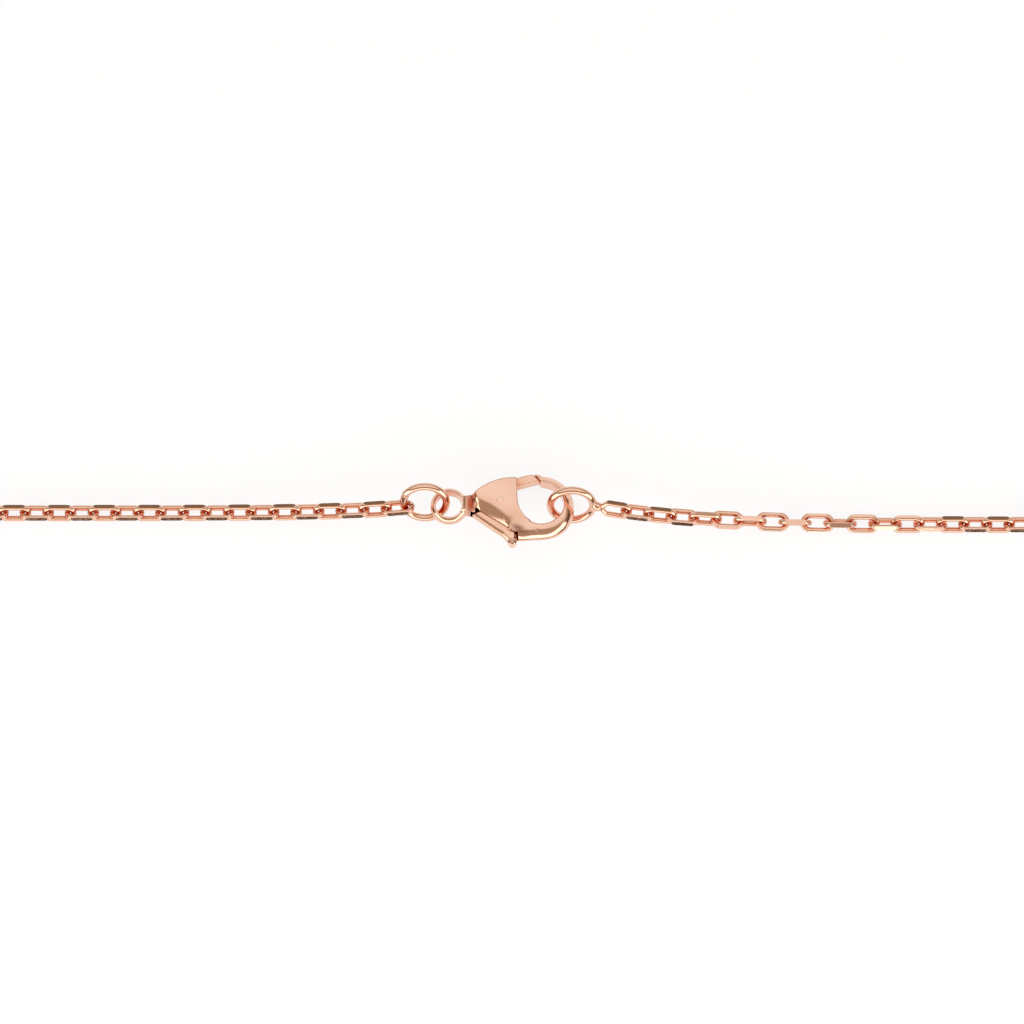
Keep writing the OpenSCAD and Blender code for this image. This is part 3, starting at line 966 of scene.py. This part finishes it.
        # Rounder towards the tab, and bevelled from the lever down
        rounding = 0.1 + 0.16 * np.clip((-1.8 - y) / 0.5, 0, 1)
        flat = meet(plan, slab(z, self.TRIGGER_HALF), rounding)
        sloped = self.slope(-plan, np.abs(z), self.LEVER_BEVEL)
        sloped = sloped - np.maximum(0, 2 * (y - self.LEVER_BEVEL_END))
        return meet(flat, sloped, self.LEVER_BEVEL[-1])


def cast(name, solid, low, high, step, look, body, cad_node, painted_shade_layers=None):
    """Casts a piece of the clasp from its solid in polished gold and puts it in place."""
    points, faces, normals = skin(solid, low, high, step)
    gold = [gold_polished(look)]
    piece = new_piece(name, to_frame(points @ CLASP_TURN), faces, gold, normals=normals @ CLASP_TURN)
    # Layers of painted shade for the gold's material
    for layer_name, values in (painted_shade_layers(points) if painted_shade_layers else {}).items():
        layer = piece.data.attributes.new(layer_name, "FLOAT", "POINT")
        layer.data.foreach_set("value", values)
    put_on(piece, body, [cad_node])


class NECKLACE_OT_clasp_body(bpy.types.Operator):
    """Cast the clasp's body with its tail ring and hook"""

    bl_idname = "necklace.cast_clasp_body"
    bl_label = "Cast clasp body"

    def execute(self, context):
        clasp, look = context.scene.necklace_clasp, context.scene.necklace_metal
        form = ClaspForm(clasp)
        low, high = (-4.7, -2.5, -1.25), (4.9, 2.4, 1.25)
        step = clasp.skin_step / MM
        cast("clasp_body_cast", form.body, low, high, step, look, "clasp_body", "clasp_body", form.painted_shade_layers)
        return {"FINISHED"}


class NECKLACE_OT_trigger(bpy.types.Operator):
    """Cut the trigger: lever, thumb tab and gate in one"""

    bl_idname = "necklace.cut_trigger"
    bl_label = "Cut trigger"

    def execute(self, context):
        clasp, look = context.scene.necklace_clasp, context.scene.necklace_metal
        low, high = (-2.0, -3.0, -0.5), (3.2, 2.4, 0.5)
        step = clasp.skin_step / MM
        cast("trigger_lever", ClaspForm(clasp).trigger, low, high, step, look, "trigger", "trigger")
        return {"FINISHED"}


class NECKLACE_OT_pin_and_spring(bpy.types.Operator):
    """Set the rivet pin and wind the spring around it"""

    bl_idname = "necklace.set_pin_and_spring"
    bl_label = "Set pin and spring"

    # All in millimetres
    PIN_R = 0.25
    PIN_PROUD = 0.012
    PIN_ROUNDING = 0.05
    PIN_STEP = 0.03
    SPRING_WIRE_R = 0.065
    COIL_R = 0.42
    COIL_TOP, COIL_BOTTOM = -0.13, -0.249
    COIL_POINTS = 90
    ACROSS = 16
    # The angle that each of the spring's legs points at, and its length
    FIRST_LEG, FIRST_LENGTH = math.radians(205), 1.15
    LAST_LEG, LAST_LENGTH = math.radians(130), 1.1

    def execute(self, context):
        clasp, look = context.scene.necklace_clasp, context.scene.necklace_metal
        half = clasp.body_height / 2 / MM

        def pin(x, y, z):
            return meet(disc(x, y, (0, 0), self.PIN_R), slab(z, half + self.PIN_PROUD), self.PIN_ROUNDING)

        reach, rise = self.PIN_R + 0.1, half + 0.1
        low, high = (-reach, -reach, -rise), (reach, reach, rise)
        cast("rivet_pin", pin, low, high, self.PIN_STEP, look, "clasp_body", "pivot_pin")
        self.spring(look)
        return {"FINISHED"}

    def leg(self, at, angle, length):
        return at + length * np.array([math.cos(angle), math.sin(angle), 0])

    def spring(self, look):
        """One wire: a leg, the turns and the other leg."""
        start, end = self.FIRST_LEG - math.pi / 2, self.LAST_LEG + math.pi / 2
        turns = np.linspace(start, end + 2 * math.pi, self.COIL_POINTS)
        depth = mix(self.COIL_TOP, self.COIL_BOTTOM, np.linspace(0, 1, self.COIL_POINTS))
        coil = np.column_stack([self.COIL_R * np.cos(turns), self.COIL_R * np.sin(turns), depth])
        first = self.leg(coil[0], self.FIRST_LEG, self.FIRST_LENGTH)
        last = self.leg(coil[-1], self.LAST_LEG, self.LAST_LENGTH)
        path = np.vstack([first, coil, last])
        ahead = np.gradient(path, axis=0)
        ahead /= np.linalg.norm(ahead, axis=1)[:, None]
        side = np.cross(ahead, [0, 0, 1.0])
        side /= np.linalg.norm(side, axis=1)[:, None]
        up = np.cross(side, ahead)
        phis = np.linspace(0, 2 * math.pi, self.ACROSS, endpoint=False)[:, None]
        rims = [np.cos(phis) * s + np.sin(phis) * u for s, u in zip(side, up)]
        points = np.vstack([p + self.SPRING_WIRE_R * rim for p, rim in zip(path, rims)])
        points, faces = to_frame(points @ CLASP_TURN), tube_faces(len(path), self.ACROSS)
        piece = new_piece("spring_coil", points, faces, [steel_wire(look)])
        put_on(piece, "clasp_body", ["trigger_spring"])


# ---------------------------------------------------------------- stage


class NECKLACE_OT_stage(bpy.types.Operator):
    """Set the floor, the soft light and the camera"""

    bl_idname = "necklace.set_stage"
    bl_label = "Set stage"

    FLOOR_TONE = (0.86, 0.86, 0.86, 1)
    FLOOR_ROUGHNESS = 0.9
    FLOOR_GLOW = 1.06
    GLOW_SHARE = 0.8
    FLOOR_REACH = 3.0
    # How much redder the dimmest parts of the tent are
    WARMTH = 0.36
    # The strips' glow, length, width, distance and height over the floor, in metres and radians
    STRIP_GLOW = 1.9
    STRIP_SIZE = (0.62, 0.27)
    STRIP_DISTANCE = 0.6
    STRIP_RISE = math.radians(25)
    STRIPS = {"strip_left": -54, "strip_middle": 0, "strip_right": 54}
    STRIPS_AHEAD = -0.035
    # The place that the camera stands over, in millimetres from the pivot
    AIM = (0.74, -0.35, 0.0)
    SENSOR = 36.0

    def execute(self, context):
        stage = context.scene.necklace_stage
        self.floor()
        self.world(context, stage)
        self.lamps()
        self.camera(context, stage)
        context.scene.view_settings.view_transform = "Standard"
        return {"FINISHED"}

    def floor(self):
        """A matt sheet, brighter where it is seen or mirrored than in the soft light it gives back."""
        made = bpy.data.materials.new("pale_floor")
        made.use_nodes = True
        tree = made.node_tree
        join = tree.links.new
        shader = tree.nodes["Principled BSDF"]
        shader.inputs["Base Color"].default_value = self.FLOOR_TONE
        shader.inputs["Roughness"].default_value = self.FLOOR_ROUGHNESS
        shader.inputs["Specular IOR Level"].default_value = 0.0
        glow = node(tree, "ShaderNodeEmission", Color=(1, 1, 1, 1), Strength=self.FLOOR_GLOW)
        both = node(tree, "ShaderNodeMixShader", Fac=self.GLOW_SHARE)
        join(shader.outputs[0], both.inputs[1])
        join(glow.outputs[0], both.inputs[2])
        rays = node(tree, "ShaderNodeLightPath")
        seen = rays.outputs["Is Camera Ray"]
        for kind in ("Is Glossy Ray", "Is Transmission Ray"):
            either = node(tree, "ShaderNodeMath", operation="MAXIMUM")
            join(seen, either.inputs[0])
            join(rays.outputs[kind], either.inputs[1])
            seen = either.outputs[0]
        lit = node(tree, "ShaderNodeMixShader")
        for part, socket in zip((seen, shader.outputs[0], both.outputs[0]), lit.inputs):
            join(part, socket)
        join(lit.outputs[0], tree.nodes["Material Output"].inputs["Surface"])
        reach = self.FLOOR_REACH
        corners = [(-reach, -reach, 0), (reach, -reach, 0), (reach, reach, 0), (-reach, reach, 0)]
        mesh = bpy.data.meshes.new("floor")
        mesh.from_pydata(corners, [], [(0, 1, 2, 3)])
        mesh.materials.append(made)
        floor = bpy.data.objects.new("floor", mesh)
        bpy.context.scene.collection.objects.link(floor)

    def world(self, context, stage):
        """A pale tent: brightest overhead and behind, dim on the near side, dark along the horizon."""
        world = bpy.data.worlds.new("soft_tent")
        context.scene.world = world
        world.use_nodes = True
        tree = world.node_tree
        background = tree.nodes["Background"]
        direction = node(tree, "ShaderNodeTexCoord").outputs["Generated"]
        lean = math.radians(stage.tent_lean)
        along = node(tree, "ShaderNodeVectorMath", operation="DOT_PRODUCT")
        along.inputs[1].default_value = (0.0, math.sin(lean), math.cos(lean))
        tree.links.new(direction, along.inputs[0])
        parts = node(tree, "ShaderNodeSeparateXYZ", Vector=direction)
        dim, dark = stage.near_side, stage.horizon
        tent = self.ramp(tree, along.outputs["Value"], [(0.0, dim), (0.28, dim), (0.46, 0.92), (0.97, 1.0)])
        rim = self.ramp(tree, parts.outputs["Z"], [(0.1, dark), (0.34, 0.36), (0.52, 1.0)])
        shade = node(tree, "ShaderNodeVectorMath", operation="MULTIPLY")
        tree.links.new(tent, shade.inputs[0])
        tree.links.new(rim, shade.inputs[1])
        background.inputs["Strength"].default_value = stage.sky
        rays = node(tree, "ShaderNodeLightPath")
        shown = blend_colours(tree, rays.outputs["Is Camera Ray"], shade.outputs[0], (1, 1, 1))
        tree.links.new(shown, background.inputs["Color"])

    def ramp(self, tree, value, stops):
        made = node(tree, "ShaderNodeValToRGB")
        tree.links.new(value, made.inputs[0])
        elements = made.color_ramp.elements
        while len(elements) < len(stops):
            elements.new(0.5)
        for element, (place, level) in zip(elements, stops):
            warmth = self.WARMTH * (1 - min(level, 1.0))
            element.position = place
            element.color = (level * (1 + warmth), level, level * (1 - warmth), 1)
        return made.outputs[0]

    def lamps(self):
        """Three soft strips in an arc, low on the near side."""
        length, width = self.STRIP_SIZE
        flat = self.STRIP_DISTANCE * math.cos(self.STRIP_RISE)
        height = self.STRIP_DISTANCE * math.sin(self.STRIP_RISE)
        for name, degrees in self.STRIPS.items():
            turn = math.radians(degrees)
            data = bpy.data.lights.new(name, "AREA")
            data.shape, data.size, data.size_y = "RECTANGLE", length, width
            data.energy = self.STRIP_GLOW * math.pi * length * width
            lamp = bpy.data.objects.new(name, data)
            lamp.location = (flat * math.sin(turn), self.STRIPS_AHEAD - flat * math.cos(turn), height)
            lamp.rotation_euler = (math.pi / 2 - self.STRIP_RISE, 0, turn)
            bpy.context.scene.collection.objects.link(lamp)

    def camera(self, context, stage):
        data = bpy.data.cameras.new("camera")
        data.sensor_width = self.SENSOR
        data.lens = self.SENSOR * stage.camera_height / stage.view_width
        camera = bpy.data.objects.new("camera", data)
        aim = to_frame(np.array(self.AIM))
        camera.location = (aim[0], aim[1], stage.camera_height)
        context.scene.collection.objects.link(camera)
        context.scene.camera = camera


class NECKLACE_PT_panel(bpy.types.Panel):
    """Sizes, finishes and steps of the necklace"""

    bl_idname = "NECKLACE_PT_panel"
    bl_label = "Chain necklace"
    bl_space_type = "VIEW_3D"
    bl_region_type = "UI"
    bl_category = "Necklace"

    def draw(self, context):
        for name in SETTINGS:
            group = getattr(context.scene, name)
            box = self.layout.box()
            for prop in group.bl_rna.properties:
                if prop.identifier not in {"rna_type", "name"}:
                    box.prop(group, prop.identifier)
        for operator in OPERATORS:
            self.layout.operator(operator.bl_idname)


SETTINGS = {
    "necklace_chain": ChainSizes,
    "necklace_clasp": ClaspSizes,
    "necklace_rings": RingSizes,
    "necklace_metal": MetalLook,
    "necklace_stage": StageLook,
}
OPERATORS = (
    NECKLACE_OT_links,
    NECKLACE_OT_rings,
    NECKLACE_OT_clasp_body,
    NECKLACE_OT_trigger,
    NECKLACE_OT_pin_and_spring,
    NECKLACE_OT_stage,
)


def register():
    for group in SETTINGS.values():
        bpy.utils.register_class(group)
    for operator in OPERATORS:
        bpy.utils.register_class(operator)
    bpy.utils.register_class(NECKLACE_PT_panel)
    for name, group in SETTINGS.items():
        setattr(bpy.types.Scene, name, PointerProperty(type=group))


def unregister():
    for name in SETTINGS:
        delattr(bpy.types.Scene, name)
    bpy.utils.unregister_class(NECKLACE_PT_panel)
    for operator in reversed(OPERATORS):
        bpy.utils.unregister_class(operator)
    for group in reversed(SETTINGS.values()):
        bpy.utils.unregister_class(group)


def main():
    register()
    bpy.ops.necklace.lay_links()
    bpy.ops.necklace.form_rings()
    bpy.ops.necklace.cast_clasp_body()
    bpy.ops.necklace.cut_trigger()
    bpy.ops.necklace.set_pin_and_spring()
    bpy.ops.necklace.set_stage()


if __name__ == "__main__":
    main()
